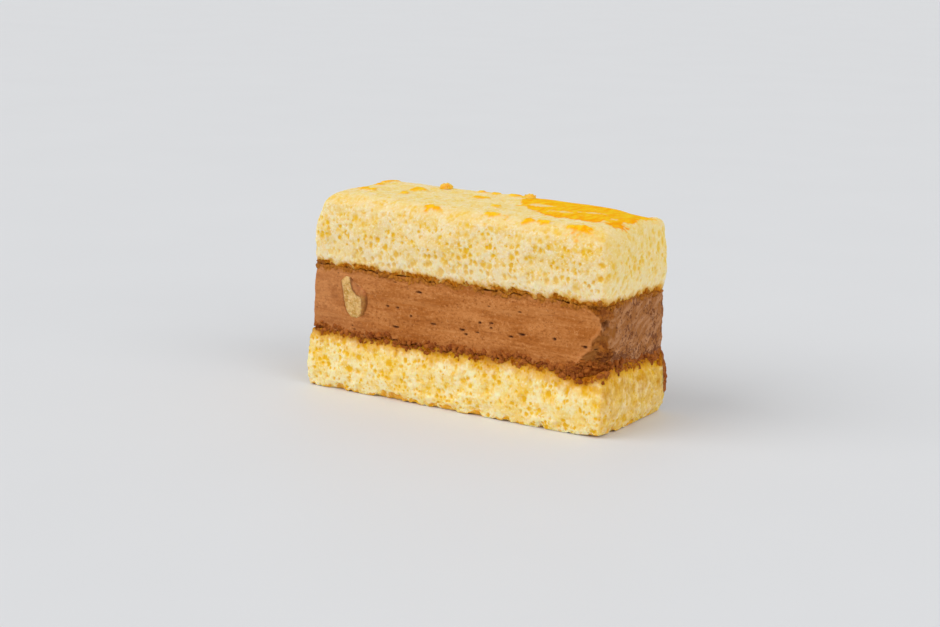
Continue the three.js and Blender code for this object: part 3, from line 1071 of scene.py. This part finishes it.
upper_crumb, shader, rest, colour = sponge_finish(
    "upper_crumb", FINE_BUBBLES, 0.75, UPPER_WALL, UPPER_WARM, UPPER_GOLD, UPPER_DEEP)
colour = blend(partly(painted(rest, "top"), 0.35), colour, TOP_TONE)
# The end is painted a deeper yellow, as shade.
colour = blend(partly(painted(rest, "end"), 0.35), colour, END_SHADE)
colour = blend(partly(fade(painted(rest, "near_cream"), 9.0, 2.0), 0.25), colour, LOW_TONE)
colour = stained(rest, colour, (2.8, 1.2), (1.6, 0.9), 5.6, 0.3)
wide = vector("MULTIPLY", rest, (1.0, 0.35, 1.0))
colour = blend(painted(rest, "flake"), colour, mottled(wide, 1.4, FLAKE_DARK, FLAKE_LIGHT))
orange = mottled(wide, 1.6, CRUST_DARK, CRUST_LIGHT)
orange = blend(partly(painted(rest, "border"), 0.6), orange, CRUST_BORDER)
feed(shader.inputs["Base Color"], blend(painted(rest, "crust"), colour, orange))
print(upper_crumb.name, "has", len(upper_crumb.node_tree.nodes), "nodes")

# %% [markdown]
# ## The finish of the cream
# The front of the cream is an even milk chocolate brown with fine grain, paler to the left. Wide bands and
# fine lines run along it where the knife has dragged, and beside the nut it is dented and darker.

# %% Front of the cream
CREAM_DARK, CREAM_LIGHT, CREAM_LEFT = srgb(170, 98, 36), srgb(192, 122, 62), srgb(206, 142, 92)
GRAIN_DARK, GRAIN_LIGHT, GRAIN_SPECK = srgb(140, 74, 18), srgb(212, 148, 90), srgb(124, 60, 14)
DENT, SCORE = srgb(150, 84, 36), srgb(136, 72, 26)
BAND_LIGHT, BAND_DARK = srgb(208, 140, 80), srgb(154, 84, 30)


def cream_front(rest):
    """The colour of the cut front, its grain, and where the knife has scored it."""
    wide = cloud(stretched(rest, 0.4), 6.0, 3.0, 0.6)
    colour = blend(fade(wide, 0.36, 0.64), CREAM_DARK, CREAM_LIGHT)
    grain = cloud(stretched(rest, 0.8), 0.8, 4.0, 0.7)
    colour = blend(partly(fade(grain, 0.5, 0.68), 0.75), colour, GRAIN_DARK)
    colour = blend(partly(fade(grain, 0.48, 0.3), 0.6), colour, GRAIN_LIGHT)
    colour = blend(partly(fade(cloud(rest, 0.7, 2.0), 0.62, 0.7), 0.6), colour, GRAIN_SPECK)
    colour = blend(fade(along_axis(rest, "X"), -18, -46, 0.0, 0.35), colour, CREAM_LEFT)
    dents = fade(cloud(rest, 3.2, 3.0, 0.6), 0.52, 0.66)
    dents = calc("MULTIPLY", dents, fade(painted(rest, "near_nut"), 16, 4))
    colour = blend(partly(dents, 0.5), colour, DENT)
    bands = cloud(stretched(rest, 0.07), 1.8, 3.0, 0.6)
    colour = blend(fade(bands, 0.5, 0.66, 0.0, 0.3), colour, BAND_LIGHT)
    colour = blend(fade(bands, 0.5, 0.34, 0.0, 0.25), colour, BAND_DARK)
    lines = cloud(stretched(rest, DRAG_STRETCH), 0.7, 3.0, 0.6)
    scored = calc("MULTIPLY", fade(cloud(rest, 9.0, 2.0), 0.46, 0.6), fade(lines, 0.54, 0.7))
    return blend(partly(scored, 0.4), colour, SCORE), grain, scored


print("front of the cream ready")

# %% [markdown]
# The end of the cream is painted greyer as a sheen, with pale slanting smears and clusters of torn pits
# that are painted dark as shade. The tear beside it is darker and more golden, partly as painted shade in
# its recess, with a painted highlight on the lip towards the front.

# %% End and tear of the cream
SHEEN_SMEAR_DARK, SHEEN_SMEAR_LIGHT, PIT_SHADE = srgb(156, 98, 46), srgb(186, 133, 90), srgb(104, 50, 16)
RUBBLE_DARK, RUBBLE_LIGHT, SHADED_SLOPE = srgb(116, 54, 2), srgb(176, 104, 30), srgb(150, 94, 38)
NOTCH_SHADE, LIP_HIGHLIGHT = srgb(92, 44, 8), srgb(208, 138, 80)
SMEAR_SLANT = -0.5


def cream_end(rest, colour):
    """The colour with the end painted greyer as a sheen, and where the pits of the end and the tear are."""
    end = painted(rest, "end")
    sockets = {"Vector": rest, "Angle": SMEAR_SLANT}
    slant = node(rest.id_data, "ShaderNodeVectorRotate", sockets, rotation_type="X_AXIS")
    smear = cloud(vector("MULTIPLY", slant.outputs["Vector"], (1.0, 0.3, 1.0)), 1.8, 3.0, 0.6)
    # The end is painted greyer as a sheen, over real slanting smears.
    sheen_and_smears = blend(fade(smear, 0.42, 0.62), SHEEN_SMEAR_DARK, SHEEN_SMEAR_LIGHT)
    low_down = fade(along_axis(rest), 25, 17, 0.0, 0.1)
    crowd = calc("MULTIPLY_ADD", fade(cloud(rest, 4.5, 2.0), 0.42, 0.6), 0.1, low_down)
    pit = fade(calc("ADD", cloud(rest, 0.9, 3.0, 0.65), crowd), 0.58, 0.68)
    pit = calc("MULTIPLY", pit, calc("MAXIMUM", end, painted(rest, "lumpy")))
    return blend(partly(end, 0.8), colour, sheen_and_smears), pit


def cream_tear(rest, colour, pit):
    """The colour with the torn corner partly in painted shade, painted shade in its notch and pits, and a
    painted highlight on its lip.
    """
    # The torn corner is darker partly as painted shade in its recess.
    torn = blend(painted(rest, "lumpy"), SHADED_SLOPE, mottled(rest, 1.2, RUBBLE_DARK, RUBBLE_LIGHT))
    colour = blend(partly(painted(rest, "torn"), 0.8), colour, torn)
    # The notch is painted dark as shade, and the lip pale as a painted highlight.
    colour = blend(partly(painted(rest, "notch"), 0.7), colour, NOTCH_SHADE)
    colour = blend(partly(painted(rest, "lip"), 0.4), colour, LIP_HIGHLIGHT)
    # The pits are painted dark as shade.
    return blend(partly(pit, 0.8), colour, PIT_SHADE)


print("end and tear of the cream ready")

# %% [markdown]
# At the seams the cream is mixed with wet crumb: golden brown at the upper seam, dark red brown at the
# lower. A shadow is painted round the nut, and the small holes are painted darkest as shade. All these
# steps then make one material.

# %% Seams of the cream
LOW_SEAM, HIGH_SEAM = 25, 30
WET_LOW, WET_LOW_LIGHT = srgb(126, 58, 6), srgb(180, 106, 38)
WET_HIGH, WET_HIGH_LIGHT = srgb(136, 74, 10), srgb(186, 116, 34)
NUT_SHADOW, HOLE_SHADE = srgb(128, 70, 22), srgb(72, 32, 8)


def cream_seams(rest, colour):
    """The colour with its soaked seams, the painted shadow round the nut and painted shade in the small
    holes.
    """
    high = fade(along_axis(rest), LOW_SEAM, HIGH_SEAM)
    gap = calc("ADD", ragged_gap(rest, "near_sponge", 5.0), partly(high, 0.2))
    dark, light = blend(high, WET_LOW, WET_HIGH), blend(high, WET_LOW_LIGHT, WET_HIGH_LIGHT)
    wet = calc("MAXIMUM", fade(gap, 1.6, 0.5), painted(rest, "clump"))
    colour = blend(wet, colour, mottled(rest, 0.8, dark, light))
    colour = blend(partly(fade(painted(rest, "near_nut"), 0.6, 0.1), 0.4), colour, NUT_SHADOW)
    # The small holes are painted darkest as shade.
    hole = bubble(stretched(rest, HOLE_STRETCH), *HOLES)[0]
    hole = calc("MAXIMUM", calc("MULTIPLY", hole, painted(rest, "open")), painted(rest, "lens"))
    return blend(hole, colour, HOLE_SHADE)


cream_look, shader, rest = material("cream")
colour, grain, scored = cream_front(rest)
colour, pit = cream_end(rest, colour)
colour = cream_seams(rest, cream_tear(rest, colour, pit))
feed(shader.inputs["Base Color"], colour)
bumps = calc("MULTIPLY_ADD", pit, -1.0, calc("MULTIPLY_ADD", scored, -0.4, grain))
surface(shader, 0.55, 0.12, bumps, 0.5, 0.25)
print(cream_look.name, "has", len(cream_look.node_tree.nodes), "nodes")

# %% [markdown]
# ## The other finishes
# Wet crumbs are dark red brown at the lower seam and golden brown at the upper, and each has its own tone.

# %% Finish of the soaked crumbs
CRUMB_LOW, CRUMB_LOW_LIGHT = srgb(122, 54, 4), srgb(178, 102, 34)
CRUMB_HIGH, CRUMB_HIGH_LIGHT = srgb(138, 76, 10), srgb(194, 124, 34)

soaked_crumb, shader, rest = material("soaked_crumb")
place = scaled(node(rest.id_data, "ShaderNodeTexCoord").outputs["Object"], 1 / MM)
tone = calc("MULTIPLY_ADD", cloud(place, 0.6, 2.0), 0.6, partly(painted(rest, "tone"), 0.6))
high = fade(along_axis(place), LOW_SEAM, HIGH_SEAM)
dark, light = blend(high, CRUMB_LOW, CRUMB_HIGH), blend(high, CRUMB_LOW_LIGHT, CRUMB_HIGH_LIGHT)
feed(shader.inputs["Base Color"], blend(fade(tone, 0.3, 0.85), dark, light))
surface(shader, 0.7, 0.2, cloud(place, 0.3, 2.0), 0.5, 0.15)
print(soaked_crumb.name, "has", len(soaked_crumb.node_tree.nodes), "nodes")

# %% [markdown]
# The nut has pale, mottled flesh with small painted highlights, a golden brown flank and dark rims in
# painted shade. Cream covers the flank beside the neck.

# %% Finish of the walnut
FLESH_DARK, FLESH_LIGHT = srgb(190, 142, 60), srgb(228, 186, 120)
FLESH_HIGHLIGHT, FLESH_FLECK, RIM_SHADE = srgb(238, 204, 146), srgb(172, 118, 40), srgb(168, 108, 48)
FLANK_DARK, FLANK_LIGHT, FLANK_SHADE = srgb(138, 78, 8), srgb(172, 112, 36), srgb(116, 58, 8)
COVER_DARK, COVER_LIGHT = srgb(170, 100, 44), srgb(196, 128, 72)

nut, shader, rest = material("nut")
colour = mottled(rest, 2.2, FLESH_DARK, FLESH_LIGHT)
# Small pale flecks on the flesh are painted highlights.
colour = blend(partly(fade(cloud(rest, 0.6, 3.0), 0.5, 0.68), 0.55), colour, FLESH_HIGHLIGHT)
colour = blend(partly(fade(cloud(rest, 0.8, 3.0), 0.46, 0.3), 0.5), colour, FLESH_FLECK)
# Towards its rims the flesh is painted darker as shade.
colour = blend(partly(painted(rest, "rim"), 0.45), colour, RIM_SHADE)
colour = blend(partly(painted(rest, "skin"), 0.85), colour, mottled(rest, 1.0, FLANK_DARK, FLANK_LIGHT))
colour = blend(partly(painted(rest, "shade"), 0.75), colour, FLANK_SHADE)
colour = blend(painted(rest, "cover"), colour, mottled(rest, 1.2, COVER_DARK, COVER_LIGHT))
feed(shader.inputs["Base Color"], colour)
surface(shader, 0.5, 0.25, cloud(rest, 0.6, 3.0), 0.4, 0.2)
glow(shader, 0.3, (1.0, 0.6, 0.3), 0.8)
print(nut.name, "has", len(nut.node_tree.nodes), "nodes")

# %% [markdown]
# The floor is pale and plain, with hardly any change of tone.

# %% Finish of the floor
FLOOR_DARK, FLOOR_LIGHT = srgb(225, 226, 228), srgb(228, 229, 231)

studio_floor = bpy.data.materials.new("studio_floor")
studio_floor.use_nodes = True
place = node(studio_floor.node_tree, "ShaderNodeTexCoord").outputs["Object"]
shader = studio_floor.node_tree.nodes["Principled BSDF"]
feed(shader.inputs["Base Color"], blend(cloud(place, 0.06), FLOOR_DARK, FLOOR_LIGHT))
shader.inputs["Roughness"].default_value = 0.6
floor.data.materials.append(studio_floor)
print("floor finished")

# %% [markdown]
# ## Finished pieces
# Each piece gets its material, rides on the cake's one body and takes the place of its solid.

# %% Dress the cake
dressing = [
    (lower, lower_crumb, "sponge_lower"), (upper, upper_crumb, "sponge_upper"),
    (top_crumbs, upper_crumb, "sponge_upper"), (cream, cream_look, "cream_filling"),
    (run, cream_look, "cream_filling"), (crumbs, soaked_crumb, "cream_filling"),
    (walnut, nut, "walnut_piece"),
]
for piece, finish, solid in dressing:
    piece.data.materials.clear()
    piece.data.materials.append(finish)
    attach(piece, "root")
    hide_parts(solid)
print(len(dressing), "pieces dressed")
